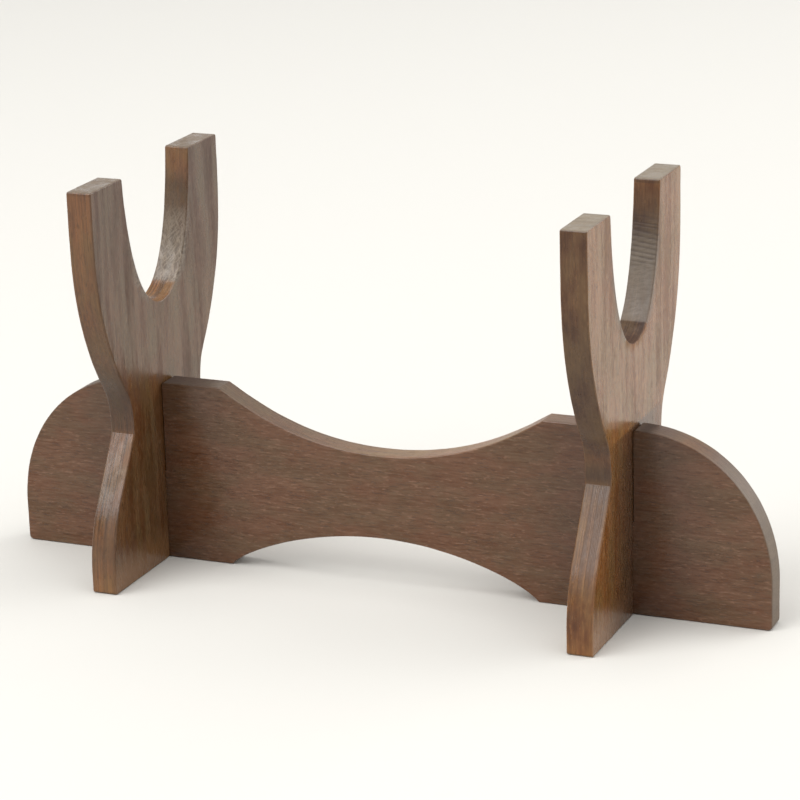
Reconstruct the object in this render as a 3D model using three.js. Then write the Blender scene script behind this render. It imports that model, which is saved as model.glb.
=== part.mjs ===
// A knock-down display stand made of three flat wooden boards. A long cross panel stands
// on edge, and two Y-shaped uprights drop onto it with halving joints: each board is
// slotted to half the panel's height, so each upright lifts straight up off the panel.
// A plate rests on its rim in the two U-shaped notches, above the hollow of the panel.
//
// Millimetres and degrees, +Z up. +X runs along the panel and +Y from front to back. The
// origin is at the middle of the stand, level with the undersides of the feet.
import * as THREE from "three";

// All three boards are cut from the same stock.
const BOARD_THICKNESS = 10;
const EASED_EDGE = 0.6; // radius of the rounding sanded along every edge
const JOINT_GAP = 0.3; // the space left between two boards where they cross

// In the curved stretches, a PULL is how far a curve keeps to the direction of its end.

// The cross panel: straight feet at both ends, with an arch between them.
const PANEL_LENGTH = 305;
const PANEL_HEIGHT = 71;
const FOOT_CORNER = 2; // radius of the bottom corner at each end
const ARCH_HEIGHT = 17.7; // floor to the highest point of the bottom edge
const ARCH_REACH = 63; // middle to where the arch meets the floor
const ARCH_CROWN_PULL = 32;
const ARCH_FOOT_PULL = 6.8;
const ARCH_FOOT_ANGLE = 52;

// The cross panel's top: rounded shoulders outside the uprights, a hollow between them.
const SHOULDER_HEIGHT = 16.5; // the upright stretch at each end, below the shoulder
const SHOULDER_END_PULL = 28.5;
const SHOULDER_TOP_PULL = 32.5;
const HOLLOW_HEIGHT = 50.7; // floor to the lowest point of the top edge
const KNEE_REACH = 65.5; // middle to where the hollow meets the flat top
const KNEE_ANGLE = 32;
const KNEE_PULL = 16.5;
const HOLLOW_PULL = 31.4;

// The uprights, measured from the panel's middle plane out to the front and the back.
const UPRIGHT_SPACING = 190; // between the middles of the two uprights
const UPRIGHT_HEIGHT = 156;
const UPRIGHT_CORNER = 1.2; // radius at the arms' outer tops and the feet's outer ends
const FOOT_REACH = 49.6;
const FOOT_HEIGHT = 21.3; // where the leg's slope would meet the foot's vertical side
const FOOT_BLEND = 13.4; // how far the curve between the two runs along each of them
const WAIST_REACH = 28.3; // to the crease above the leg
const WAIST_HEIGHT = 57.2;
const WAIST_PULL = 17.4;
const FLARE_REACH = 39.3; // to where the arm's outer side leans out the most
const FLARE_HEIGHT = 86.5;
const FLARE_ANGLE = 63;
const FLARE_LOWER_PULL = 15;
const FLARE_UPPER_PULL = 28.4;
const ARM_REACH = 51.6; // to the outer side of an arm at its top
const ARM_PULL = 27;

// The notch is a round-bottomed U that opens slightly towards the top.
const NOTCH_REACH = 27; // from its middle to either side, at the top
const NOTCH_DEPTH = 53.4;
const NOTCH_LEAN = 4; // how far its sides lean outwards
const NOTCH_SIDE_PULL = 32;
const NOTCH_FLOOR_PULL = 15.4;

// Each board is slotted where it crosses another, half of the way through the joint.
const SLOT_REACH = BOARD_THICKNESS / 2 + JOINT_GAP;
const PANEL_SLOT_FLOOR = (PANEL_HEIGHT - JOINT_GAP) / 2;
const UPRIGHT_SLOT_ROOF = (PANEL_HEIGHT + JOINT_GAP) / 2;

const CURVE_STEPS = 20; // straight steps along each curved stretch of an outline

// The directions in which a curve can leave or reach its ends.
const RIGHT = 0;
const UP = 90;
const LEFT = 180;
const DOWN = 270;

function stepFrom(point, direction, distance) {
  const angle = THREE.MathUtils.degToRad(direction);
  return new THREE.Vector2(Math.cos(angle), Math.sin(angle)).multiplyScalar(distance).add(point);
}

// Adds a curve that leaves the end of the path in one direction, and ends where something
// leaving its end point in the other direction would meet it.
function addCurve(path, direction, pull, end, endDirection, endPull) {
  const first = stepFrom(path.currentPoint, direction, pull);
  const second = stepFrom(end, endDirection, endPull);
  path.bezierCurveTo(first.x, first.y, second.x, second.y, end.x, end.y);
}

// The right half of the panel's outline, from the middle of the arch out to the end and
// back to the middle of the hollow. The slot for the upright is open at the top.
function panelHalfOutline() {
  const end = PANEL_LENGTH / 2;
  const slotInside = UPRIGHT_SPACING / 2 - SLOT_REACH;
  const slotOutside = UPRIGHT_SPACING / 2 + SLOT_REACH;
  const archFoot = new THREE.Vector2(ARCH_REACH, 0);
  const shoulderTop = new THREE.Vector2(slotOutside, PANEL_HEIGHT);
  const hollowMiddle = new THREE.Vector2(0, HOLLOW_HEIGHT);
  const half = new THREE.Path();

  half.moveTo(0, ARCH_HEIGHT);
  addCurve(half, RIGHT, ARCH_CROWN_PULL, archFoot, LEFT - ARCH_FOOT_ANGLE, ARCH_FOOT_PULL);
  half.lineTo(end - FOOT_CORNER, 0);
  half.quadraticCurveTo(end, 0, end, FOOT_CORNER);
  half.lineTo(end, SHOULDER_HEIGHT);
  addCurve(half, UP, SHOULDER_END_PULL, shoulderTop, RIGHT, SHOULDER_TOP_PULL);
  half.lineTo(slotOutside, PANEL_SLOT_FLOOR);
  half.lineTo(slotInside, PANEL_SLOT_FLOOR);
  half.lineTo(slotInside, PANEL_HEIGHT);
  half.lineTo(KNEE_REACH, PANEL_HEIGHT);
  addCurve(half, LEFT + KNEE_ANGLE, KNEE_PULL, hollowMiddle, RIGHT, HOLLOW_PULL);
  return half;
}

// The back half of an upright's outline, from the roof of its slot down to the foot, up
// the outer side to the arm's top, and down the notch to its lowest point.
function uprightHalfOutline() {
  const foot = new THREE.Vector2(FOOT_REACH, FOOT_HEIGHT);
  const waist = new THREE.Vector2(WAIST_REACH, WAIST_HEIGHT);
  const flare = new THREE.Vector2(FLARE_REACH, FLARE_HEIGHT);
  const armTop = new THREE.Vector2(ARM_REACH, UPRIGHT_HEIGHT - UPRIGHT_CORNER);
  const notchFloor = new THREE.Vector2(0, UPRIGHT_HEIGHT - NOTCH_DEPTH);
  const slope = waist.clone().sub(foot).setLength(FOOT_BLEND);
  const legEnd = foot.clone().add(slope);
  const half = new THREE.Path();

  half.moveTo(0, UPRIGHT_SLOT_ROOF);
  half.lineTo(SLOT_REACH, UPRIGHT_SLOT_ROOF);
  half.lineTo(SLOT_REACH, 0);
  half.lineTo(FOOT_REACH - UPRIGHT_CORNER, 0);
  half.quadraticCurveTo(FOOT_REACH, 0, FOOT_REACH, UPRIGHT_CORNER);
  half.lineTo(FOOT_REACH, FOOT_HEIGHT - FOOT_BLEND);
  half.quadraticCurveTo(foot.x, foot.y, legEnd.x, legEnd.y);
  half.lineTo(waist.x, waist.y);
  addCurve(half, UP, WAIST_PULL, flare, LEFT + FLARE_ANGLE, FLARE_LOWER_PULL);
  addCurve(half, FLARE_ANGLE, FLARE_UPPER_PULL, armTop, DOWN, ARM_PULL);
  half.quadraticCurveTo(ARM_REACH, UPRIGHT_HEIGHT, ARM_REACH - UPRIGHT_CORNER, UPRIGHT_HEIGHT);
  half.lineTo(NOTCH_REACH, UPRIGHT_HEIGHT);
  addCurve(half, DOWN - NOTCH_LEAN, NOTCH_SIDE_PULL, notchFloor, RIGHT, NOTCH_FLOOR_PULL);
  return half;
}

// A whole outline from its right half, which starts and ends on the middle line.
function mirroredShape(half) {
  const right = half.getPoints(CURVE_STEPS);
  const inner = right.slice(1, -1).reverse();
  const left = inner.map((point) => new THREE.Vector2(-point.x, point.y));
  return new THREE.Shape([...right, ...left]);
}

// A board with the given outline, lying flat with its middle plane at z = 0.
function boardGeometry(shape) {
  const depth = BOARD_THICKNESS - 2 * EASED_EDGE;
  const board = new THREE.ExtrudeGeometry(shape, {
    depth,
    bevelThickness: EASED_EDGE,
    bevelSize: EASED_EDGE,
    bevelOffset: -EASED_EDGE,
    bevelSegments: 2,
  });
  return board.translate(0, 0, -depth / 2);
}

function stainedWood(color) {
  return new THREE.MeshStandardMaterial({ color, roughness: 0.38, metalness: 0 });
}

function makeCrossPanel() {
  const geometry = boardGeometry(mirroredShape(panelHalfOutline()));
  geometry.rotateX(Math.PI / 2);
  const panel = new THREE.Mesh(geometry, stainedWood(0x5b3a28));
  panel.name = "cross_panel";
  return panel;
}

function makeUpright(name, middle) {
  const geometry = boardGeometry(mirroredShape(uprightHalfOutline()));
  geometry.rotateX(Math.PI / 2).rotateZ(Math.PI / 2);
  const upright = new THREE.Mesh(geometry, stainedWood(0x6a4730));
  upright.name = name;
  upright.position.x = middle;
  return upright;
}

const stand = new THREE.Group();
stand.add(
  makeCrossPanel(),
  makeUpright("left_upright", -UPRIGHT_SPACING / 2),
  makeUpright("right_upright", UPRIGHT_SPACING / 2),
);

export default stand;
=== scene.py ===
"""The looks of a knock-down plate display stand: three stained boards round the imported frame.

Metres, in the frame's own axes: +X runs along the cross panel, +Y goes from the front of
the stand to its back, and +Z is up.
"""

import math

import bmesh
import bpy
import numpy as np
from mathutils import Matrix, Vector
from mathutils.geometry import delaunay_2d_cdt


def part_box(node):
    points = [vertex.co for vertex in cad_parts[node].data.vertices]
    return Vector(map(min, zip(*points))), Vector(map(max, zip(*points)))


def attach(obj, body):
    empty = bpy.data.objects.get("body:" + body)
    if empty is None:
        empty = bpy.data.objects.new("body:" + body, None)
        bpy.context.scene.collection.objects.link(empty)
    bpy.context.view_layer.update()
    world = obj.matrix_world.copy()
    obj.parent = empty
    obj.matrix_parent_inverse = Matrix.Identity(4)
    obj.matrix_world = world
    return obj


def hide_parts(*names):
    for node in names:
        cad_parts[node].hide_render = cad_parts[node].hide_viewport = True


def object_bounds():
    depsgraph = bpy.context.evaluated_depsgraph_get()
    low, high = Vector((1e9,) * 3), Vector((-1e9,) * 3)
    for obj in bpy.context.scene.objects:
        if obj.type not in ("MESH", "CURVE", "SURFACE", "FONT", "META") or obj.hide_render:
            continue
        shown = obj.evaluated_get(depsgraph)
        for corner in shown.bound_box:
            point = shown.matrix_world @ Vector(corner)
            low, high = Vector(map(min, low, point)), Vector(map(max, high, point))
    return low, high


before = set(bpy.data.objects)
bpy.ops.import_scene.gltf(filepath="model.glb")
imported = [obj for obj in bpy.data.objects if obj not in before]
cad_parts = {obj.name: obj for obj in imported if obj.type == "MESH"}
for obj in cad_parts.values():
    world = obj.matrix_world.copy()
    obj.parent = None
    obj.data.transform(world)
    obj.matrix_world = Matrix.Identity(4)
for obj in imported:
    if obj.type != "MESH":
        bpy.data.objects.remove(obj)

MM = 0.001
X, Y, Z = range(3)
CAD_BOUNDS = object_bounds()

# The camera: a long lens from the front right, a little above the stand.
CAMERA_YAW = math.radians(23.34)
CAMERA_PITCH = math.radians(17.48)
CAMERA_ROLL = math.radians(-1.66)
CAMERA_DISTANCE = 1.162
CAMERA_AIM_RIGHT = 0.0047
CAMERA_AIM_UP = 0.0678
CAMERA_LENS_MM = 137.6

# The light: a white surround and softboxes, each with its direction, counted in degrees
# round from the front towards the right, its height in degrees, and its power in watts.
SURROUND_STRENGTH = 0.5
SOFTBOX_SIZE = 2.4
SOFTBOX_DISTANCE = 3.0
SOFTBOXES = {
    "key": (-38, 48, 75),
    "top": (0, 90, 38),
    "side": (90, 55, 24),
    "back": (135, 25, 47),
    "backdrop": (205, 10, 8),
}
FLOOR_RADIUS = 8.0
FLOOR_SIDES = 96
FLOOR_DROP = 0.05 * MM
FLOOR_COLOUR = (0.6, 0.586, 0.55)
FLOOR_ROUGHNESS = 0.9

# How the frame's outline of a board is read.
CAD_EDGE = 0.6 * MM  # the rounding along the frame's own edges
WELD = 0.01 * MM  # points of the frame closer together than this are one
LEVEL_SLACK = 0.02 * MM  # how far off its level a point of the outline may be
STRAIGHT_LENGTH = 6 * MM  # a longer side of the frame's outline is a straight one
CORNER_TURN = math.radians(18)  # a sharper turn in the outline is a corner

# How a board is cut and sanded.
EDGE_RADIUS = 0.55 * MM
EDGE_UNEVEN = 0.2  # how much the hand-sanded edge radius varies, as a share of it
EDGE_WAVE_LENGTH = 21 * MM
SLOT_EDGE_RADIUS = 0.18 * MM  # inside the slots, which are left as they were sawn
SLOT_EDGE_FADE = 3  # points of the outline over which one radius turns into the other
SLOT_SNUG = 0.14 * MM  # how much of the frame's gap between two boards a slot's wall closes
CORNER_RADIUS = 1.0 * MM
CREASE_RADIUS = 1.6 * MM
SLOT_CORNER_RADIUS = 0.25 * MM

# The steps of the mesh.
OUTLINE_STEP = 0.6 * MM
NOTCH_STEP = 0.3 * MM
ARC_STEP = math.radians(15)
LEAST_STEP = 0.1 * MM  # between the end of a trimmed run and the point next to it
EDGE_STEPS = 5  # rows of faces round each edge
WALL_ROWS = 7
SUPPORT = 0.12 * MM  # a narrow flat row inside each edge, so that the faces shade flat
FACE_GRID = 3.5 * MM  # the spacing of the mesh across a board's faces
FACE_ROW_GRID = 0.87 * FACE_GRID
FACE_JITTER = 0.12 * FACE_GRID
FACE_RIM_GAP = 0.42 * FACE_GRID
SAME_POINT = 1e-9
TRIANGLES_INSIDE = 1  # asks the triangulation to fill the outline and no more

# Where an upright's notch is, as shares of the upright's reach and height, and how far
# below the top its wall ends. A slot reaches a little further to each side than half a
# board. One that is open above stays over a share of its board's height, and one that is
# open below stays under it.
NOTCH_REACH = 0.55
NOTCH_FLOOR = 0.6
NOTCH_RIM = 1.5 * MM
SLOT_SLACK = 0.4 * MM
SLOT_DIVIDE = 0.3

# What the saw and the sander leave on the cut edges. In an upright's notch, the sides are
# sawn down to the round bowl at its bottom, which is cut by another tool.
WALL_WAVE_LENGTH = 17 * MM
WALL_WAVE_DEPTH = 0.06 * MM
WALL_WAVE_LEAN = 0.4  # how far a wave shifts along the edge, for each length through the board
WALL_WAVE_SEED = 7
CHATTER_SPACING = 1.8 * MM
CHATTER_LEAN = 0.12  # how far a mark runs off level, for each length through the board
CHATTER_WANDER = 2.2  # how far the marks stray from even spacing, in radians
CHATTER_WANDER_LENGTH = 7 * MM
CHATTER_UNEVEN = 0.4  # how much the depth of the marks varies, as a share of it
CHATTER_UNEVEN_LENGTH = 4 * MM
CHATTER_UNEVEN_LEAN = 0.5
CHATTER_UNEVEN_SEED = 3
CHATTER_TOP = 0.94  # where the marks fade out, as shares of the upright's height
CHATTER_TOP_FADE = 0.05
CHATTER_BOTTOM = 0.78
CHATTER_BOTTOM_FADE = 0.04
BOWL_TOP = 0.685
# The tones of the edges hold painted light and shade as well as the stain's own.
TONE_WANDER = 1.0 * MM  # how far the tones of the stain stray along an edge
TONE_WANDER_LENGTH = 11 * MM

# The smooth noise along an outline is a sum of waves, each a little shorter than the last.
NOISE_WAVES = 4
FIRST_PACE = 0.73
PACE_STEP = 0.41
PHASE_STEP = 2.4
SEED_PHASE = 1.7

UPRIGHTS = ("left_upright", "right_upright")
ALONG_U, ALONG_V = range(2)  # which axis of its face a board's grain runs along

# What a board's cut edges look like. The depth of the chatter marks is in mm. The tones are
# pairs of a place, in mm, and a share of the edge's usual tone: along the panel, and up an
# upright and its notch. They are partly the stain's own and partly painted light and shade:
# shadow cast by the uprights on the panel's top, highlights along the panel's top, a darker
# waist where an upright's front edge faces down, bounce light from the floor near the feet,
# and lighter and darker patches in the notch that follow its highlight. The sawn shares say
# where the notch's wall is still rough, and grey partly from a painted reflection.
# The panel has no notch, so the last two say nothing there.
PANEL_CUT = {
    "chatter": 0.0,
    "edge_tones_with_painted_light": (
        (-150, 0.7), (-112, 0.75), (-104, 1.0), (-99, 0.55), (-88, 0.48), (-72, 0.66),
        (-64, 0.98), (-35, 1.05), (-20, 1.2), (0, 1.5), (40, 1.75), (60, 1.6), (74, 1.5),
        (88, 1.65), (105, 0.45), (110, 1.15), (120, 1.5), (132, 0.95),
    ),
    "notch_tones_with_painted_light": ((0, 1.0),),
    "sawn_and_sheen": ((0, 0.0),),
}
LEFT_CUT = {
    "chatter": 0.02,
    "edge_tones_with_painted_light": (
        (0, 1.65), (5, 1.5), (10, 1.2), (14, 1.0), (26, 0.95), (31, 0.7), (38, 0.85),
        (44, 1.0), (56, 1.0), (60, 0.58), (72, 0.52), (79, 0.65), (90, 1.05), (116, 1.25),
        (140, 1.3), (154, 1.35), (155.5, 1.0),
    ),
    "notch_tones_with_painted_light": (
        (102, 1.36), (106.5, 1.22), (107.2, 0.95), (120, 0.75), (130, 0.66), (142, 0.66),
        (147, 1.15), (156, 1.35),
    ),
    "sawn_and_sheen": (
        (106.6, 0.0), (107.4, 0.9), (118, 0.9), (122, 0.78), (131, 0.5), (134, 0.1),
        (156, 0.0),
    ),
}
RIGHT_CUT = {
    "chatter": 0.14,
    "edge_tones_with_painted_light": (
        (0, 2.1), (5, 1.8), (10, 1.6), (14, 1.42), (24, 1.43), (28, 1.65), (32, 1.5),
        (50, 1.38), (56, 1.25), (60, 0.62), (63, 0.8), (67, 1.25), (72, 0.8), (80, 0.75),
        (108, 0.72), (118, 0.76), (130, 1.0), (154, 0.95), (155.5, 1.0),
    ),
    "notch_tones_with_painted_light": (
        (102, 0.72), (106.7, 0.5), (107.3, 0.88), (125, 0.88), (130, 0.72), (136, 0.5),
        (142, 0.66), (148, 0.95), (156, 1.45),
    ),
    "sawn_and_sheen": (
        (106.6, 0.0), (107.4, 0.8), (128, 1.0), (134, 0.72), (138, 0.25), (146, 0.05),
        (156, 0.0),
    ),
}

# The noises in the wood. Each has so many bumps a metre along the grain, across the face
# and through the board, its levels of detail, and a number that sets it apart.
NOISES = {
    "bands": (13, 140, 140, 3, 0),
    "figure": (30, 300, 300, 2, 3),
    "fibres": (70, 1350, 1350, 2, 5),
    "long_flecks": (170, 1250, 1250, 3, 9),
    "short_flecks": (300, 1250, 1250, 3, 9),
    "mottle": (50, 95, 95, 3, 13),
    "comb": (20, 20, 1700, 3, 15),
    "pores": (300, 1900, 1900, 1, 17),
    "specks": (330, 1500, 1500, 1, 21),
    "rub": (160, 160, 160, 3, 25),
    "rising_scratches": (260, 260, 1500, 2, 29),
    "falling_scratches": (260, 260, 1500, 2, 31),
    "strokes": (60, 480, 60, 3, 33),
}
NOISE_ROUGHNESS = 0.6
NOISE_WAY = (1.0, 0.7, 1.3)  # the direction in which one noise is shifted from another
BOARD_SHIFT = 3.7  # how far the noises of one board are shifted from those of the next

# Where each of these turns from nothing to full.
PORE_FADE = (0.60, 0.70)
SPECK_FADE = (0.60, 0.72)
SCRATCH_FADE = (0.40, 0.66)
RUB_FADE = (0.40, 0.68)
HUE_FADE = (0.36, 0.64)
END_GRAIN_FADE = (0.55, 0.95)  # of how squarely the surface faces along the grain
SLOPE_FADE = (0.20, 0.45)  # of how squarely it faces upwards
DULL_FADE = (0.9, 0.4)  # of the tone of a cut edge
PAINTED_BOUNCE_FADE = (17 * MM, 3 * MM)
TOP_FADE = (80 * MM, 156 * MM)

# What the grain, the saw, wear and painted sheen do to a colour, as shares of its red, green
# and blue.
PORE = (0.35, 0.38, 0.45)
SPECK = (1.8, 2.1, 2.8)
WORN = (1.3, 1.55, 2.3)
RUDDY = (1.06, 0.97, 0.95, 1.0)
OLIVE = (0.91, 1.00, 0.98, 1.0)
# Painted sheen: the grey that lightens cut edges where they face up towards the light.
SLOPE_SHEEN_TINT = (0.77, 0.72, 0.72)
SCRATCH_DARK = (0.55, 0.52, 0.50)
SCRATCH_LIGHT = (1.45, 1.48, 1.50)
END_DARK = (0.60, 0.58, 0.56)
END_LIGHT = (1.40, 1.42, 1.44)
TONE_POWERS = (1.0, 0.85, 0.5)  # how red, green and blue rise with a tone over 1

# How much of each shows where it is at its fullest.
PORE_SHARE = 0.5
FACE_SPECK_SHARE = 0.65
EDGE_SPECK_SHARE = 0.15
END_SHARE = 0.85
RUB_SHARE = 0.3
SAWN_AND_SHEEN_SHARE = 0.8

# The varnish, and what the grain and the saw add to its roughness.
VARNISH_IOR = 1.5
MOTTLE_ROUGHNESS = 0.16
FLECK_ROUGHNESS = 0.12
PORE_ROUGHNESS = 0.10
END_ROUGHNESS = 0.08
SAWN_ROUGHNESS = 0.16

# The relief: the height of the flecks, and that of everything else as shares of it.
RELIEF_DEPTH = 0.12 * MM
FIBRE_RELIEF = 0.8
PORE_RELIEF = -0.5
SANDED_OFF = 0.7  # how much of the relief of the grain is gone from the cut edges
COMB_RELIEF = 4.5
SCRATCH_RELIEF = 1.6
STROKE_RELIEF = 1.5

# A dark colour, mixed in as painted shade where two boards meet and as darkening in other
# places, and how far the painted shade reaches from where two boards meet.
DARKENING_COLOUR = (0.030, 0.014, 0.011, 1.0)
PAINTED_SHADE_REACH = 42 * MM
JOINT_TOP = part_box("cross_panel")[1][Z]
JOINT_TOP_FADE = 2 * MM

PANEL_LOOK = {
    # The stain on the faces and on the cut edges, and how far its grain goes each way, as
    # shares of the stain's red, green and blue.
    "face": (0.119, 0.0535, 0.0235),
    "dark": (0.64, 0.38, 0.0),
    "light": (1.36, 1.62, 2.0),
    "wall": (0.110, 0.062, 0.032),
    "wall_dark": (0.62, 0.62, 0.66),
    "wall_light": (1.38, 1.38, 1.34),
    # The colours of rough sawn wood, grey partly from a painted reflection, of end grain, and
    # of the painted bounce light from the floor at the foot of the faces, and how much of it
    # shows.
    "sawn_and_sheen": (0.108, 0.089, 0.071),
    "end": (0.120, 0.080, 0.048),
    "foot": (0.119, 0.0535, 0.0235),
    "foot_share": 0.0,
    # How much darker the faces turn towards the top, how much painted shade lies where the
    # boards meet, and how much darker the chatter marks are.
    "top_shade": 0.0,
    "joint": 0.35,
    "groove": 0.0,
    # How strongly each kind of grain shows on the faces.
    "bands": 0.6,
    "figure": 0.0,
    "fibres": 0.5,
    "flecks": 1.4,
    "fleck_noise": "long_flecks",
    # How strongly the blotches, the fibres and the saw lines show on the cut edges, and
    # where an edge faces upwards, the painted highlight added to the saw lines, their relief
    # and the painted grey sheen.
    "blotches": 0.9,
    "lines": 1.1,
    "comb": 1.8,
    "painted_slope_glints": 0.0,
    "slope_relief": 0.0,
    "painted_slope_sheen": 0.0,
    # The strength of the scratches in the notch, and their angles to the grain in degrees.
    "scratches": 1.0,
    "scratch_turns": (38, -28),
    # The roughness of the faces, how much more it is in light grain than in dark, and what
    # the cut edges, the bowl of the notch and a dark tone on an edge add to it.
    "roughness": 0.24,
    "sheen_range": 0.0,
    "wall_roughness": 0.14,
    "bowl_roughness": 0.0,
    "dull": 0.45,
    "relief": 0.35,
}
LEFT_LOOK = {
    **PANEL_LOOK,
    "face": (0.099, 0.045, 0.015),
    "dark": (0.70, 0.46, 0.0),
    "light": (1.30, 1.54, 2.0),
    "wall": (0.112, 0.053, 0.022),
    "sawn_and_sheen": (0.150, 0.120, 0.088),
    "end": (0.132, 0.096, 0.062),
    "foot": (0.195, 0.098, 0.042),
    "foot_share": 1.0,
    "top_shade": 0.3,
    "joint": 0.0,
    "bands": 2.6,
    "figure": 1.8,
    "flecks": 1.1,
    "fleck_noise": "short_flecks",
    "painted_slope_glints": 4.0,
    "slope_relief": 8.0,
    "roughness": 0.30,
    "sheen_range": -0.38,
    "wall_roughness": -0.01,
    "dull": 0.0,
    "relief": 0.21,
}
RIGHT_LOOK = {
    **LEFT_LOOK,
    "face": (0.180, 0.076, 0.020),
    "dark": (0.74, 0.54, 0.0),
    "light": (1.26, 1.46, 2.0),
    "wall": (0.092, 0.039, 0.012),
    "wall_dark": (0.50, 0.36, 0.05),
    "wall_light": (1.50, 1.64, 1.95),
    "sawn_and_sheen": (0.130, 0.106, 0.081),
    "end": (0.190, 0.152, 0.106),
    "foot": (0.265, 0.142, 0.072),
    "top_shade": 0.0,
    "joint": 0.66,
    "groove": 0.75,
    "bands": 3.0,
    "figure": 1.2,
    "flecks": 2.0,
    "blotches": 3.4,
    "lines": 0.8,
    "comb": 0.8,
    "painted_slope_glints": 2.6,
    "painted_slope_sheen": 0.32,
    "scratches": 0.3,
    "scratch_turns": (84, 70),
    "roughness": 0.24,
    "sheen_range": -0.25,
    "wall_roughness": 0.13,
    "bowl_roughness": 0.3,
}


class Board:
    """One board of the frame: its node, the axes u and v of its face and w through it, which
    way its grain runs, where the middles of its slots are along u, a seed, and its cut."""

    def __init__(self, node, axes, grain, slots, seed, cut):
        self.node = node
        self.u, self.v, self.w = axes
        self.grain = grain
        self.slots = slots
        self.seed = seed
        self.cut = cut
        self.low, self.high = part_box(node)

    def point(self, face_point, depth):
        """The place of a point of the outline, at a depth behind the board's front."""
        place = Vector((0.0, 0.0, 0.0))
        place[self.u] = face_point[0]
        place[self.v] = face_point[1]
        place[self.w] = self.low[self.w] + depth
        return place

    @property
    def thickness(self):
        return self.high[self.w] - self.low[self.w]

    @property
    def top(self):
        return self.high[self.v]


def wave_noise(places, wavelength, seed):
    """Smooth repeatable noise from -1 to 1 along a line, with bumps about a wavelength long."""
    total = np.zeros(len(places))
    for wave in range(NOISE_WAVES):
        phase = SEED_PHASE * seed + PHASE_STEP * wave
        pace = 2 * math.pi / wavelength * (FIRST_PACE + PACE_STEP * wave)
        total += np.sin(pace * places + phase) / NOISE_WAVES
    return total


# --- The outline of a board, read from the frame and made smooth ---


def frame_outline(board):
    """The frame's outline of a board as points (u, v), in order, with the wood on the left."""
    mesh = bmesh.new()
    mesh.from_mesh(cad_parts[board.node].data)
    bmesh.ops.remove_doubles(mesh, verts=mesh.verts, dist=WELD)
    level = board.low[board.w] + CAD_EDGE
    ring = {vert for vert in mesh.verts if abs(vert.co[board.w] - level) < LEVEL_SLACK}
    start = min(ring, key=lambda vert: vert.co[board.u])
    walk = [start]
    while True:
        linked = [edge.other_vert(walk[-1]) for edge in walk[-1].link_edges]
        onward = [vert for vert in linked if vert in ring and vert not in walk[-2:]]
        if onward[0] is start or len(walk) > len(ring):
            break
        walk.append(onward[0])
    points = np.array([(vert.co[board.u], vert.co[board.v]) for vert in walk])
    mesh.free()
    ahead = np.roll(points, -1, axis=0)
    area = np.sum(points[:, 0] * ahead[:, 1] - ahead[:, 0] * points[:, 1]) / 2
    return points if area > 0 else points[::-1]


def unit(vectors):
    return vectors / np.linalg.norm(vectors, axis=-1, keepdims=True)


def turns(points):
    """How far a closed outline turns to the left at each of its points, in radians."""
    after = np.roll(points, -1, axis=0) - points
    before = points - np.roll(points, 1, axis=0)
    cross = before[:, 0] * after[:, 1] - before[:, 1] * after[:, 0]
    return np.arctan2(cross, np.sum(before * after, axis=1))


def run_tangents(run):
    """The direction of a smooth run of points at each of them."""
    sides = np.diff(run, axis=0)
    lengths = np.linalg.norm(sides, axis=1)
    ways = unit(sides)
    tangents = np.ones_like(run)
    for i in range(1, len(run) - 1):
        if lengths[i - 1] > STRAIGHT_LENGTH:
            tangents[i] = ways[i - 1]
        elif lengths[i] > STRAIGHT_LENGTH:
            tangents[i] = ways[i]
        else:
            tangents[i] = ways[i - 1] * lengths[i] + ways[i] * lengths[i - 1]
    tangents = unit(tangents)
    for end, way, inner in ((0, ways[0], 1), (-1, ways[-1], -2)):
        near = tangents[inner] if len(run) > 2 else way
        tangents[end] = 2 * np.dot(way, near) * way - near
    return tangents


def smooth_run(run, step):
    """A run of points between two corners, as a curve through them in short steps."""
    tangents = run_tangents(run)
    made = []
    for i in range(len(run) - 1):
        length = np.linalg.norm(run[i + 1] - run[i])
        steps = max(1, math.ceil(length / step))
        t = (np.arange(steps) / steps)[:, None]
        made.append(
            (2 * t**3 - 3 * t**2 + 1) * run[i]
            + (t**3 - 2 * t**2 + t) * length * tangents[i]
            + (3 * t**2 - 2 * t**3) * run[i + 1]
            + (t**3 - t**2) * length * tangents[i + 1]
        )
    made.append(run[-1:])
    return np.vstack(made)


def lengths_along(points):
    """How far along a line of points each of them is."""
    return np.concatenate([[0], np.cumsum(np.linalg.norm(np.diff(points, axis=0), axis=1))])


def trimmed(run, start, end):
    """A run without a length at its start and another at its end."""
    along = lengths_along(run)
    kept = (along > start + LEAST_STEP) & (along < along[-1] - end - LEAST_STEP)
    stops = np.concatenate([[start], along[kept], [along[-1] - end]])
    return np.stack([np.interp(stops, along, run[:, axis]) for axis in (0, 1)], axis=1)


def corner_arc(before, after, turn):
    """The points of the rounded corner between the run before it and the run after."""
    steps = max(2, math.ceil(abs(turn) / ARC_STEP))
    start_way = unit(before[-1] - before[-2])
    chord = np.linalg.norm(after[0] - before[-1])
    radius = chord / (2 * math.sin(abs(turn) / 2))
    side = math.copysign(1.0, turn)
    centre = before[-1] + side * radius * np.array([-start_way[1], start_way[0]])
    arm = before[-1] - centre
    angles = np.arange(1, steps) / steps * turn
    cosines = np.cos(angles)
    sines = np.sin(angles)
    return centre + np.stack(
        [arm[0] * cosines - arm[1] * sines, arm[0] * sines + arm[1] * cosines], axis=1
    )


def corner_radii(board, places, corner_turns):
    """How round each corner of the outline is. A slot's inner corners are nearly sharp."""
    radii = np.where(corner_turns > 0, CORNER_RADIUS, CREASE_RADIUS)
    in_a_slot = slot_wall(board, places) & (corner_turns < 0)
    return np.where(in_a_slot, SLOT_CORNER_RADIUS, radii)


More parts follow.
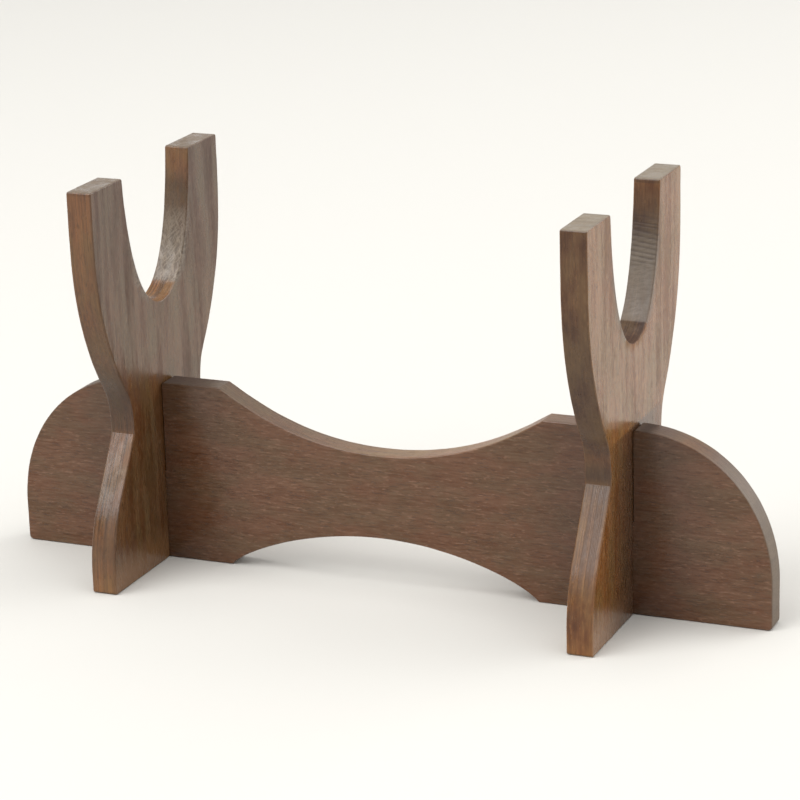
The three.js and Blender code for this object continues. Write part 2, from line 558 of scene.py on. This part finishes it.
def board_outline(board):
    """The whole outline of a board in short steps, with its corners a little rounded."""
    points = frame_outline(board)
    turn = turns(points)
    corners = np.flatnonzero(np.abs(turn) > CORNER_TURN)
    points = np.roll(points, -corners[0], axis=0)
    turn = np.roll(turn, -corners[0])
    corners = np.append(corners - corners[0], len(points))
    points = np.vstack([points, points[:1]])
    corner_turns = turn[corners[:-1]]
    radii = corner_radii(board, points[corners[:-1]], corner_turns)
    trim = radii * np.tan(np.abs(corner_turns) / 2)
    trim = np.append(trim, trim[0])
    runs = []
    for i in range(len(corners) - 1):
        run = points[corners[i] : corners[i + 1] + 1]
        in_the_notch = np.any(notch_wall(board, run))
        run = smooth_run(run, NOTCH_STEP if in_the_notch else OUTLINE_STEP)
        runs.append(trimmed(run, trim[i], trim[i + 1]))
    made = []
    for i, run in enumerate(runs):
        made.append(corner_arc(runs[i - 1], run, corner_turns[i]))
        made.append(run)
    return np.vstack(made)


# --- What is where round the outline ---


def notch_wall(board, outline):
    """True at each point of an outline that is on the wall of an upright's notch."""
    if board.w == Y:
        return np.zeros(len(outline), bool)
    between_arms = np.abs(outline[:, 0]) < NOTCH_REACH * board.high[board.u]
    below_the_rim = outline[:, 1] < board.top - NOTCH_RIM
    return between_arms & below_the_rim & (outline[:, 1] > NOTCH_FLOOR * board.top)


def slot_wall(board, outline):
    """True at each point of an outline that is in a slot, where nothing gets sanded."""
    open_above = board.w == Y
    reach = board.thickness / 2 + SLOT_SLACK
    inside = np.zeros(len(outline), bool)
    for middle in board.slots:
        inside |= np.abs(outline[:, 0] - middle) < reach
    upper_part = outline[:, 1] > SLOT_DIVIDE * board.top
    return inside & (upper_part == open_above) & ~notch_wall(board, outline)


def ramp(values, low, high):
    """0 where a value is at low, 1 where it is at high, and smooth between."""
    share = np.clip((values - low) / (high - low), 0, 1)
    return share * share * (3 - 2 * share)


def chatter_marks(board, outline, through):
    """How deep the chatter marks are at each point of the outline, so far through the board,
    as shares of their full depth."""
    along = lengths_along(outline)
    height = outline[:, 1] / board.top
    phase = 2 * math.pi * (outline[:, 1] + CHATTER_LEAN * through) / CHATTER_SPACING
    phase += CHATTER_WANDER * wave_noise(along, CHATTER_WANDER_LENGTH, board.seed)
    marks = (0.5 + 0.5 * np.sin(phase)) ** 2
    leant = along + CHATTER_UNEVEN_LEAN * through
    uneven = wave_noise(leant, CHATTER_UNEVEN_LENGTH, board.seed + CHATTER_UNEVEN_SEED)
    marks *= 1 - CHATTER_UNEVEN + CHATTER_UNEVEN * uneven
    marks *= ramp(height, CHATTER_BOTTOM, CHATTER_BOTTOM + CHATTER_BOTTOM_FADE)
    marks *= ramp(height, CHATTER_TOP, CHATTER_TOP - CHATTER_TOP_FADE)
    return marks * notch_wall(board, outline)


def wall_depths(board, outline, through):
    """How far the tools have cut into the wall at each point of the outline."""
    places = lengths_along(outline) + WALL_WAVE_LEAN * through
    waves = wave_noise(places, WALL_WAVE_LENGTH, board.seed + WALL_WAVE_SEED)
    marks = chatter_marks(board, outline, through)
    depths = WALL_WAVE_DEPTH * (0.5 + 0.5 * waves) + board.cut["chatter"] * MM * marks
    return np.where(slot_wall(board, outline), -SLOT_SNUG, depths)


def stain_tones_with_painted_light(board, outline):
    """How light the cut edge is at each point of the outline: the stain's own tone, with
    painted light and shade.
    """
    place = outline[:, board.grain]
    wander = wave_noise(lengths_along(outline), TONE_WANDER_LENGTH, board.seed)
    strayed = place + TONE_WANDER * wander
    tones = np.interp(strayed / MM, *zip(*board.cut["edge_tones_with_painted_light"]))
    in_notch = np.interp(place / MM, *zip(*board.cut["notch_tones_with_painted_light"]))
    return np.where(notch_wall(board, outline), in_notch, tones)


def sawn_and_sheen_shares(board, outline):
    """How rough the notch's wall is at each point of the outline, and how grey, partly from a
    painted reflection.
    """
    shares = np.interp(outline[:, 1] / MM, *zip(*board.cut["sawn_and_sheen"]))
    return np.where(notch_wall(board, outline), shares, 0)


# --- The mesh of a board ---


def inward_normals(outline):
    """The direction from the outline into the wood, at each of its points."""
    ways = unit(np.roll(outline, -1, axis=0) - np.roll(outline, 1, axis=0))
    return np.stack([-ways[:, 1], ways[:, 0]], axis=1)


def smoothed(values, count):
    """Values round a closed outline, each averaged with so many on each side of it."""
    shifted = [np.roll(values, shift) for shift in range(-count, count + 1)]
    return np.mean(shifted, axis=0)


def edge_radii(board, outline):
    """How round the sanded edge is at each point of the outline."""
    waves = wave_noise(lengths_along(outline), EDGE_WAVE_LENGTH, board.seed)
    radii = EDGE_RADIUS * (1 + EDGE_UNEVEN * waves)
    radii = np.where(slot_wall(board, outline), SLOT_EDGE_RADIUS, radii)
    return smoothed(radii, SLOT_EDGE_FADE)


def board_rows(board, outline):
    """The rows of points round a board, from its front face to its back: their places on
    the face, their depths, and how much each row belongs to the rounded edge and the wall."""
    inward = inward_normals(outline)
    radius = edge_radii(board, outline)
    half = [(radius + SUPPORT, 0 * radius, 0.0, 0.0)]
    for angle in np.arange(EDGE_STEPS + 1) / EDGE_STEPS * math.pi / 2:
        inset = radius * (1 - math.sin(angle))
        depth = radius * (1 - math.cos(angle))
        half.append((inset, depth, math.sin(2 * angle), 2 * angle / math.pi))
    rows = list(half)
    for i in range(1, WALL_ROWS):
        depth = radius + (board.thickness - 2 * radius) * i / WALL_ROWS
        rows.append((0 * radius, depth, 0.0, 1.0))
    for inset, depth, edge, wall in reversed(half):
        rows.append((inset, board.thickness - depth, edge, wall))
    made = []
    for inset, depth, edge, wall in rows:
        cut = wall * wall_depths(board, outline, float(np.mean(depth)))
        flat = outline + inward * (inset + cut)[:, None]
        made.append((flat, depth, edge, wall))
    return made


def side_faces(row_count, count):
    """The faces between each row of points round a board and the next."""
    faces = []
    for row in range(row_count - 1):
        near = row * count
        far = near + count
        for i in range(count):
            onward = (i + 1) % count
            faces.append((near + i, near + onward, far + onward, far + i))
    return faces


def inside_outline(spots, outline):
    """True for each spot that a closed outline goes round."""
    ahead = np.roll(outline, -1, axis=0)
    inside = np.zeros(len(spots), bool)
    for (x0, y0), (x1, y1) in zip(outline, ahead):
        crosses = (y0 > spots[:, 1]) != (y1 > spots[:, 1])
        if y0 != y1:
            reach = x0 + (spots[:, 1] - y0) / (y1 - y0) * (x1 - x0)
            inside ^= crosses & (spots[:, 0] < reach)
    return inside


def face_spots(rim, seed):
    """Points over the inside of a closed outline, in slightly uneven staggered rows."""
    low = rim.min(axis=0)
    high = rim.max(axis=0)
    columns = np.arange(low[0] + FACE_GRID / 2, high[0], FACE_GRID)
    levels = np.arange(low[1] + FACE_GRID / 2, high[1], FACE_ROW_GRID)
    chance = np.random.default_rng(seed)
    spots = []
    for number, level in enumerate(levels):
        for column in columns:
            shift = chance.uniform(-1, 1, 2) * FACE_JITTER
            spots.append((column + FACE_GRID / 2 * (number % 2) + shift[0], level + shift[1]))
    spots = np.array(spots)
    every_other = rim[::2]
    gaps = np.linalg.norm(spots[:, None] - every_other[None], axis=2).min(axis=1)
    return spots[(gaps > FACE_RIM_GAP) & inside_outline(spots, rim)]


def face_triangles(rim, spots):
    """Triangles over the inside of a closed outline, as the numbers of their corners. The
    points of the rim are numbered first, and then the spots inside it."""
    count = len(rim)
    edges = [(i, (i + 1) % count) for i in range(count)]
    points = [Vector(point) for point in np.vstack([rim, spots])]
    made = delaunay_2d_cdt(points, edges, [], TRIANGLES_INSIDE, SAME_POINT)
    _, _, faces, sources, _, _ = made
    number = [source[0] for source in sources]
    return [[number[corner] for corner in face] for face in faces]


def board_shape(board, rows):
    """The points of a board, with those of its rows first, and the faces between them."""
    count = len(rows[0][0])
    verts = []
    for flat, depth, _, _ in rows:
        verts += [board.point(flat[i], depth[i]) for i in range(count)]
    faces = side_faces(len(rows), count)
    for row, depth in ((0, 0.0), (len(rows) - 1, board.thickness)):
        rim = rows[row][0]
        spots = face_spots(rim, board.seed)
        number = [row * count + i for i in range(count)]
        number += [len(verts) + i for i in range(len(spots))]
        verts += [board.point(spot, depth) for spot in spots]
        for triangle in face_triangles(rim, spots):
            faces.append(tuple(number[corner] for corner in triangle))
    return verts, faces


def surface_values(board, outline, rows):
    """What the material is told about each point of the rows."""
    notch = notch_wall(board, outline)
    bowl = notch & (outline[:, 1] < BOWL_TOP * board.top)
    grooves = [chatter_marks(board, outline, float(np.mean(depth))) for _, depth, _, _ in rows]
    return {
        "notch": np.tile(notch, len(rows)),
        "bowl": np.tile(bowl, len(rows)),
        # The edges' tones, partly the stain's own and partly painted light and shade.
        "tone": np.tile(stain_tones_with_painted_light(board, outline), len(rows)),
        "sawn_and_sheen": np.tile(sawn_and_sheen_shares(board, outline), len(rows)),
        "groove": np.concatenate(grooves),
        "edge": np.repeat([edge for _, _, edge, _ in rows], len(outline)),
        "wall": np.repeat([wall for _, _, _, wall in rows], len(outline)),
    }


def build_board(board):
    """The finished piece of a board, with its rounded edges, tool marks and flat faces."""
    outline = board_outline(board)
    rows = board_rows(board, outline)
    verts, faces = board_shape(board, rows)
    mesh = bpy.data.meshes.new(board.node + "_board")
    mesh.from_pydata(verts, [], faces)
    for name, values in surface_values(board, outline, rows).items():
        over_all = np.zeros(len(verts), np.float32)
        over_all[: len(values)] = values
        mesh.attributes.new(name, "FLOAT", "POINT").data.foreach_set("value", over_all)
    shell = bmesh.new()
    shell.from_mesh(mesh)
    bmesh.ops.recalc_face_normals(shell, faces=shell.faces)
    shell.to_mesh(mesh)
    shell.free()
    mesh.shade_smooth()
    piece = bpy.data.objects.new(board.node + "_board", mesh)
    bpy.context.scene.collection.objects.link(piece)
    return piece


# --- Materials ---


def scaled(colour, by):
    """A colour with each of its parts multiplied, as a socket takes it."""
    return (colour[0] * by[0], colour[1] * by[1], colour[2] * by[2], 1.0)


class Graph:
    """A material's nodes, added one call at a time."""

    def __init__(self, name):
        self.material = bpy.data.materials.new(name)
        self.material.use_nodes = True
        self.tree = self.material.node_tree
        self.tree.nodes.clear()

    def node(self, kind, inputs=(), **settings):
        made = self.tree.nodes.new(kind)
        for key, value in settings.items():
            setattr(made, key, value)
        for key, value in dict(inputs).items():
            if isinstance(value, bpy.types.NodeSocket):
                self.tree.links.new(value, made.inputs[key])
            else:
                made.inputs[key].default_value = value
        return made

    def finished(self, settings):
        """The material, with a principled shader that has these inputs."""
        shader = self.node("ShaderNodeBsdfPrincipled", settings)
        self.node("ShaderNodeOutputMaterial", {"Surface": shader.outputs[0]})
        return self.material

    def attribute(self, name):
        return self.node("ShaderNodeAttribute", attribute_name=name).outputs["Fac"]

    def split(self, vector):
        """The three parts of a vector."""
        return self.node("ShaderNodeSeparateXYZ", {0: vector}).outputs

    def maths(self, operation, a, b=0.0, c=0.0, clamp=False):
        inputs = {0: a, 1: b, 2: c}
        made = self.node("ShaderNodeMath", inputs, operation=operation, use_clamp=clamp)
        return made.outputs[0]

    def times(self, *values):
        product = values[0]
        for value in values[1:]:
            product = self.maths("MULTIPLY", product, value)
        return product

    def adding(self, value, by, onto):
        """So much of a value, added to something."""
        return self.maths("MULTIPLY_ADD", value, by, onto)

    def centred(self, noise, by, onto, clamp=False):
        """So much of a noise, added to something without a change in its average."""
        base = self.maths("ADD", onto, -by / 2)
        return self.maths("MULTIPLY_ADD", noise, by, base, clamp=clamp)

    def less(self, value, by):
        """A value less another one, and 0 where that would be under 0."""
        return self.maths("SUBTRACT", value, by, clamp=True)

    def fade(self, value, low, high):
        """0 where a value is at low, 1 where it is at high, and smooth between."""
        inputs = {"Value": value, "From Min": low, "From Max": high}
        made = self.node("ShaderNodeMapRange", inputs, interpolation_type="SMOOTHSTEP")
        return made.outputs["Result"]

    def mix(self, share, a, b, blend="MIX"):
        """Two colours mixed. A mix node's sockets for colours are 6 and 7 in, and 2 out."""
        inputs = {0: share, 6: a, 7: b}
        made = self.node("ShaderNodeMix", inputs, data_type="RGBA", blend_type=blend)
        return made.outputs[2]

    def toned(self, colour, tone):
        """A colour made lighter and redder by a tone over 1, and darker by one under 1."""
        lifted = self.maths("MAXIMUM", tone, 1.0)
        powers = {i: self.maths("POWER", lifted, power) for i, power in enumerate(TONE_POWERS)}
        lift = self.node("ShaderNodeCombineColor", powers).outputs[0]
        darkened = self.mix(1.0, colour, self.maths("MINIMUM", tone, 1.0), "MULTIPLY")
        return self.mix(1.0, darkened, lift, "MULTIPLY")


class Wood:
    """A board's fine-pored wood, under a dark stain and a satin finish. What is used more
    than once is made at the start, and each method adds its own part of the nodes."""

    def __init__(self, board, look):
        self.board = board
        self.look = look
        self.graph = Graph(board.node + "_wood")
        self.place, end_grain, self.slope = self.grain_space()
        self.walls = self.graph.attribute("wall")
        self.notch = self.graph.attribute("notch")
        self.sawn_and_sheen = self.graph.attribute("sawn_and_sheen")
        self.tone = self.graph.attribute("tone")
        self.end_grain = self.graph.less(end_grain, self.notch)
        self.outer_walls = self.graph.less(self.walls, self.notch)
        self.flecks = self.noise(look["fleck_noise"])
        self.fibres = self.noise("fibres")
        self.mottle = self.noise("mottle")
        self.comb = self.noise("comb")
        self.strokes = self.noise("strokes")
        self.pores = self.graph.fade(self.noise("pores"), *PORE_FADE)
        self.scratches = self.scratches_both_ways()
        self.grain = self.grain_tone()

    def grain_space(self):
        """A place in the wood as (along the grain, across the board's face, through it), and
        how far the surface there is end grain, and faces upwards."""
        board, graph = self.board, self.graph
        along = (board.u, board.v)[board.grain]
        across = (board.v, board.u)[board.grain]
        coordinates = graph.node("ShaderNodeTexCoord")
        parts = graph.split(coordinates.outputs["Object"])
        ordered = {i: parts[axis] for i, axis in enumerate((along, across, board.w))}
        place = graph.node("ShaderNodeCombineXYZ", ordered).outputs[0]
        facing = graph.split(coordinates.outputs["Normal"])
        end_grain = graph.fade(graph.maths("ABSOLUTE", facing[along]), *END_GRAIN_FADE)
        return place, end_grain, graph.fade(facing[Z], *SLOPE_FADE)

    def noise(self, name, turn=0.0):
        """One of the wood's noises, from 0 to 1. A turn is an angle in the cut edge."""
        along, across, through, detail, number = NOISES[name]
        place = self.place
        if turn:
            inputs = {"Vector": place, "Rotation": (0.0, turn, 0.0)}
            place = self.graph.node("ShaderNodeMapping", inputs, vector_type="POINT").outputs[0]
        shift = BOARD_SHIFT * self.board.seed + number
        shifts = tuple(shift * part for part in NOISE_WAY)
        inputs = {0: place, 1: (along, across, through), 2: shifts}
        bumps = self.graph.node("ShaderNodeVectorMath", inputs, operation="MULTIPLY_ADD")
        inputs = {
            "Vector": bumps.outputs[0],
            "Scale": 1.0,
            "Detail": detail,
            "Roughness": NOISE_ROUGHNESS,
        }
        return self.graph.node("ShaderNodeTexNoise", inputs).outputs["Fac"]

    def scratches_both_ways(self):
        """Short thin strokes over a cut edge in two directions, from 0 to 1."""
        rising, falling = (math.radians(turn) for turn in self.look["scratch_turns"])
        rising = self.graph.fade(self.noise("rising_scratches", rising), *SCRATCH_FADE)
        falling = self.graph.fade(self.noise("falling_scratches", falling), *SCRATCH_FADE)
        both = self.graph.maths("MAXIMUM", rising, falling)
        return self.graph.centred(both, self.look["scratches"], 0.5)

    def grain_tone(self):
        """How light the grain of the faces is, from 0 to 1."""
        graph, look = self.graph, self.look
        tone = graph.centred(self.noise("bands"), look["bands"], 0.5)
        tone = graph.centred(self.noise("figure"), look["figure"], tone)
        tone = graph.centred(self.fibres, look["fibres"], tone)
        return graph.centred(self.flecks, look["flecks"], tone, clamp=True)

    def wall_grain_tone(self):
        """How light the saw lines, blotches and fibres of the cut edges are, from 0 to 1."""
        graph, look = self.graph, self.look
        # Painted highlight: the saw lines show stronger where an edge faces up towards the
        # light.
        combed = graph.adding(self.slope, look["painted_slope_glints"], look["comb"])
        tone = graph.adding(graph.maths("SUBTRACT", self.comb, 0.5), combed, 0.5)
        tone = graph.centred(self.mottle, look["blotches"], tone)
        return graph.centred(self.fibres, look["lines"], tone, clamp=True)

    def grained_stain(self):
        """The stain on sound wood, with its grain, patches of hue, specks and pores."""
        graph, look = self.graph, self.look
        dark, light = (scaled(look["face"], look[key]) for key in ("dark", "light"))
        faces = graph.mix(self.grain, dark, light)
        dark, light = (scaled(look["wall"], look[key]) for key in ("wall_dark", "wall_light"))
        walls = graph.mix(self.wall_grain_tone(), dark, light)
        stain = graph.mix(self.walls, faces, walls)
        hue = graph.mix(graph.fade(self.mottle, *HUE_FADE), RUDDY, OLIVE)
        stain = graph.mix(1.0, stain, hue, "MULTIPLY")
        specks = graph.fade(self.noise("specks"), *SPECK_FADE)
        fewer = EDGE_SPECK_SHARE - FACE_SPECK_SHARE
        specks = graph.times(specks, graph.adding(self.walls, fewer, FACE_SPECK_SHARE))
        stain = graph.mix(specks, stain, scaled(look["face"], SPECK))
        return graph.mix(graph.times(self.pores, PORE_SHARE), stain, scaled(look["face"], PORE))

    def worn_stain_and_painted_light(self, stain):
        """The stain with painted grey sheen on upward slopes, end grain, rubbed arrises and the
        edges' tones, which hold painted light and shade too.
        """
        graph, look = self.graph, self.look
        # Painted sheen: a grey mixed into cut edges that face upwards, where the light falls.
        painted_sheen = graph.times(self.slope, self.outer_walls, look["painted_slope_sheen"])
        stain = graph.mix(painted_sheen, stain, scaled(look["sawn_and_sheen"], SLOPE_SHEEN_TINT))
        dark, light = scaled(look["end"], END_DARK), scaled(look["end"], END_LIGHT)
        ends = graph.mix(self.strokes, dark, light)
        stain = graph.mix(graph.times(self.end_grain, END_SHARE), stain, ends)
        rub = graph.fade(self.noise("rub"), *RUB_FADE)
        rub = graph.times(rub, graph.attribute("edge"), RUB_SHARE)
        stain = graph.mix(rub, stain, scaled(look["wall"], WORN))
        # The edges' tones: partly the stain's own, partly painted light and shade that follows
        # how the light falls.
        return graph.mix(self.walls, stain, graph.toned(stain, self.tone))

    def sawn_and_sheen_stain(self, stain):
        """The stain with the rough and scratched part of the notch's wall, grey partly from a
        painted reflection of the light.
        """
        graph, look = self.graph, self.look
        dark, light = scaled(look["sawn_and_sheen"], SCRATCH_DARK), scaled(look["sawn_and_sheen"], SCRATCH_LIGHT)
        rubbed = graph.mix(self.scratches, dark, light)
        # Partly painted reflection: the grey where the notch's wall catches the light.
        return graph.mix(graph.times(self.sawn_and_sheen, SAWN_AND_SHEEN_SHARE), stain, rubbed)

    def painted_light_and_darkening(self, stain):
        """The stain, darker towards the top of the faces and in the chatter marks, with painted
        shade where boards meet and painted bounce light from the floor at the foot. A panel's
        grain runs level, so only an upright has a top shade and painted bounce light."""
        graph, look = self.graph, self.look
        height = graph.split(self.place)[0]
        faces = graph.maths("SUBTRACT", 1.0, self.walls)
        shade = graph.times(graph.fade(height, *TOP_FADE), look["top_shade"], faces)
        stain = graph.mix(shade, stain, DARKENING_COLOUR)
        # Painted bounce light: the faces turn paler near the floor, as if lit from it.
        foot = graph.times(graph.fade(height, *PAINTED_BOUNCE_FADE), look["foot_share"], faces)
        stain = graph.mix(foot, stain, (*look["foot"], 1.0))
        groove = graph.times(graph.attribute("groove"), look["groove"])
        stain = graph.mix(groove, stain, DARKENING_COLOUR)
        # Painted shade: darker where two boards meet, where one board shades the other.
        joint = graph.times(self.joint_share(), look["joint"])
        return graph.mix(joint, stain, DARKENING_COLOUR)

    def joint_share(self):
        """1 where two boards meet and 0 away from there: where the painted shade between the
        boards lies.
        """
        graph, board = self.graph, self.board
        along, across, _ = graph.split(self.place)
        if board.w == Y:
            from_middle = graph.maths("ABSOLUTE", along)
            away = graph.maths("ABSOLUTE", graph.maths("SUBTRACT", from_middle, board.slots[1]))
            return graph.fade(away, PAINTED_SHADE_REACH, board.thickness / 2)
        away = graph.maths("ABSOLUTE", across)
        below = graph.fade(along, JOINT_TOP + JOINT_TOP_FADE, JOINT_TOP)
        return graph.times(graph.fade(away, PAINTED_SHADE_REACH, board.thickness / 2), below)

    def roughness(self):
        """How rough the finish is, with what the grain and the tools add to it."""
        graph, look = self.graph, self.look
        rough = graph.centred(self.mottle, MOTTLE_ROUGHNESS, look["roughness"])
        rough = graph.centred(self.flecks, FLECK_ROUGHNESS, rough)
        rough = graph.centred(self.grain, look["sheen_range"], rough)
        rough = graph.adding(self.pores, PORE_ROUGHNESS, rough)
        rough = graph.adding(self.end_grain, END_ROUGHNESS, rough)
        rough = graph.adding(graph.attribute("bowl"), look["bowl_roughness"], rough)
        rough = graph.adding(self.sawn_and_sheen, SAWN_ROUGHNESS, rough)
        dulled = graph.times(graph.fade(self.tone, *DULL_FADE), self.walls)
        rough = graph.adding(dulled, look["dull"], rough)
        return graph.adding(self.walls, look["wall_roughness"], rough)

    def bumps(self):
        """The directions that the surface faces in, over the relief of the grain and the
        tools."""
        graph, look = self.graph, self.look
        relief = graph.adding(self.fibres, FIBRE_RELIEF, self.flecks)
        relief = graph.adding(self.pores, PORE_RELIEF, relief)
        relief = graph.times(relief, graph.adding(self.walls, -SANDED_OFF, 1.0))
        combed = graph.times(self.comb, self.outer_walls)
        relief = graph.adding(combed, COMB_RELIEF, relief)
        relief = graph.adding(graph.times(combed, self.slope), look["slope_relief"], relief)
        relief = graph.adding(graph.times(self.scratches, self.notch), SCRATCH_RELIEF, relief)
        relief = graph.adding(graph.times(self.strokes, self.end_grain), STROKE_RELIEF, relief)
        inputs = {"Height": relief, "Strength": look["relief"], "Distance": RELIEF_DEPTH}
        return graph.node("ShaderNodeBump", inputs).outputs[0]

    def material(self):
        """The finished material."""
        stain = self.worn_stain_and_painted_light(self.grained_stain())
        stain = self.painted_light_and_darkening(self.sawn_and_sheen_stain(stain))
        return self.graph.finished(
            {
                "Base Color": stain,
                "Roughness": self.roughness(),
                "IOR": VARNISH_IOR,
                "Normal": self.bumps(),
            }
        )


def pale_floor_material():
    colour = (*FLOOR_COLOUR, 1.0)
    return Graph("pale_floor").finished({"Base Color": colour, "Roughness": FLOOR_ROUGHNESS})


# --- The studio ---


def add_floor():
    mesh = bpy.data.meshes.new("floor")
    disc = bmesh.new()
    bmesh.ops.create_circle(disc, cap_ends=True, segments=FLOOR_SIDES, radius=FLOOR_RADIUS)
    disc.to_mesh(mesh)
    disc.free()
    floor = bpy.data.objects.new("floor", mesh)
    floor.location.z = CAD_BOUNDS[0][Z] - FLOOR_DROP
    floor.data.materials.append(pale_floor_material())
    bpy.context.scene.collection.objects.link(floor)


def add_surround():
    world = bpy.data.worlds.new("white_surround")
    world.use_nodes = True
    background = world.node_tree.nodes["Background"]
    background.inputs["Color"].default_value = (1.0, 1.0, 1.0, 1.0)
    background.inputs["Strength"].default_value = SURROUND_STRENGTH
    bpy.context.scene.world = world


def add_softbox(name, round_from_front, height, power):
    lamp = bpy.data.lights.new(name + "_softbox", "AREA")
    lamp.shape = "SQUARE"
    lamp.size = SOFTBOX_SIZE
    lamp.energy = power
    turn = math.radians(round_from_front)
    rise = math.radians(height)
    level = math.cos(rise)
    way = Vector((math.sin(turn) * level, -math.cos(turn) * level, math.sin(rise)))
    softbox = bpy.data.objects.new(name + "_softbox", lamp)
    softbox.location = way * SOFTBOX_DISTANCE
    softbox.rotation_euler = way.to_track_quat("Z", "Y").to_euler()
    bpy.context.scene.collection.objects.link(softbox)


def add_camera():
    level = math.cos(CAMERA_PITCH)
    forward = Vector(
        (-math.sin(CAMERA_YAW) * level, math.cos(CAMERA_YAW) * level, -math.sin(CAMERA_PITCH))
    )
    turn = Matrix.Rotation(-CAMERA_ROLL, 3, forward)
    right = turn @ forward.cross(Vector((0, 0, 1))).normalized()
    up = right.cross(forward)
    lens = bpy.data.cameras.new("camera")
    lens.lens = CAMERA_LENS_MM
    camera = bpy.data.objects.new("camera", lens)
    place = right * CAMERA_AIM_RIGHT + up * CAMERA_AIM_UP - forward * CAMERA_DISTANCE
    turned = Matrix((right, up, -forward)).transposed().to_4x4()
    camera.matrix_world = Matrix.Translation(place) @ turned
    bpy.context.scene.collection.objects.link(camera)
    bpy.context.scene.camera = camera


# --- Putting it together ---

UPRIGHT_PLACES = [sum(corner[X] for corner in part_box(node)) / 2 for node in UPRIGHTS]
BOARDS = [
    Board("cross_panel", (X, Z, Y), ALONG_U, UPRIGHT_PLACES, seed=1, cut=PANEL_CUT),
    Board(UPRIGHTS[0], (Y, Z, X), ALONG_V, [0.0], seed=2, cut=LEFT_CUT),
    Board(UPRIGHTS[1], (Y, Z, X), ALONG_V, [0.0], seed=3, cut=RIGHT_CUT),
]
LOOKS = [PANEL_LOOK, LEFT_LOOK, RIGHT_LOOK]

add_camera()
add_surround()
for name, (round_from_front, height, power) in SOFTBOXES.items():
    add_softbox(name, round_from_front, height, power)
add_floor()
bpy.context.scene.view_settings.view_transform = "Standard"

for board, look in zip(BOARDS, LOOKS):
    piece = build_board(board)
    piece.data.materials.append(Wood(board, look).material())
    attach(piece, board.node)
    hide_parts(board.node)
